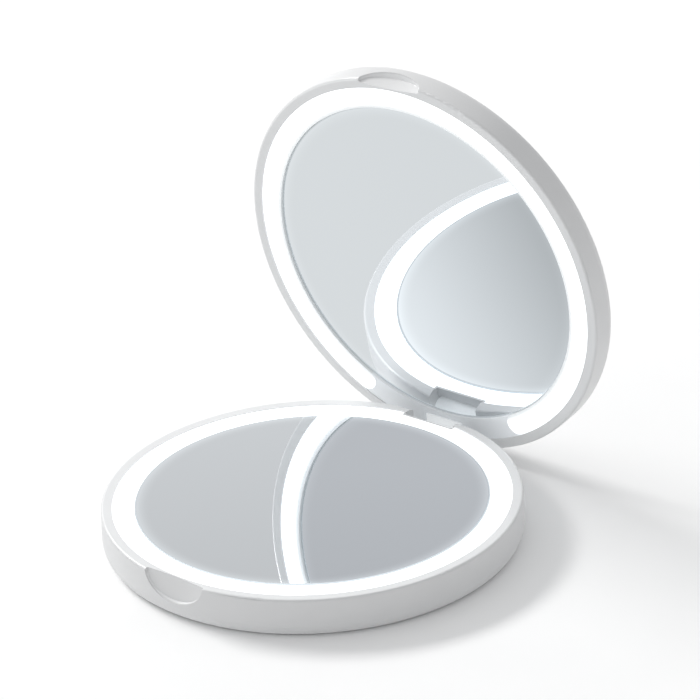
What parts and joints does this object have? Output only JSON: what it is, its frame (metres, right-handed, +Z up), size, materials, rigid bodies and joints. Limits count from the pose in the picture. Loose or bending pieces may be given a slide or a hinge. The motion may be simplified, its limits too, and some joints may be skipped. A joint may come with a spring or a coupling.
{
  "type": "lighted makeup mirror",
  "caption": "Round folding compact: a base lying flat and a lid standing open on a rear hinge, each half holding a round mirror inside a glowing ring light.",
  "frame": {"origin": "centre of the base's underside, on the table", "axes": "+Z up, +Y towards the hinge at the back, +X along the hinge pin to the right"},
  "size_m": [0.0903, 0.099, 0.0915],
  "materials": {
    "casing": "satin gloss white moulding",
    "hinge_plastic": "satin white moulding",
    "ring_cover": "plain unlit moulding",
    "lit_ring": "translucent white, lit from behind",
    "mirror": "silvered glass",
    "tray_plastic": "white moulding",
    "tape": "double-sided tape",
    "led_strip": "white flexible strip",
    "led": "lamp with phosphor dome",
    "steel": "bright steel",
    "plated": "nickel plated",
    "board": "green solder mask",
    "switch_plastic": "black moulding",
    "cell_foil": "foil pouch",
    "lead": "insulated lead"
  },
  "bodies": {
    "base": {"base_shell": "casing", "hinge_washers": "hinge_plastic", "base_diffuser_ring": "lit_ring", "base_mirror": "mirror", "base_tray": "tray_plastic", "base_mirror_tape": "tape", "base_led_strip": "led_strip", "base_leds": "led", "hinge_pin": "steel", "base_tray_screws": "steel", "board_screws": "steel", "base_magnet": "plated", "usb_socket": "plated", "control_board": "board", "tact_switch": "switch_plastic", "battery_cell": "cell_foil", "battery_leads": "lead", "led_leads": "lead", "hinge_leads": "lead"},
    "lid": {"lid_shell": "casing", "lid_tray": "tray_plastic", "lid_mirror": "mirror", "lid_mirror_tape": "tape", "lid_diffuser_ring": "lit_ring", "lid_ring_cover": "ring_cover", "lid_led_strip": "led_strip", "lid_leds": "led", "lid_tray_screws": "steel", "lid_magnet": "plated", "lid_leads": "lead", "hinge_arm": "hinge_plastic", "arm_screws": "steel"},
    "button": {"power_button": "casing"}
  },
  "joints": [
    {"name": "lid_hinge", "type": "hinge", "parent": "base", "child": "lid", "pos_m": [0, 0.0416, 0.0043], "axis": [1, 0, 0], "range_deg": [-6, 84.7]},
    {"name": "button_push", "type": "slide", "parent": "base", "child": "button", "axis": [1, 0, 0], "range_m": [0, 0.0005], "stiffness_N_per_m": 2000, "springref_m": -0.0004}
  ]
}
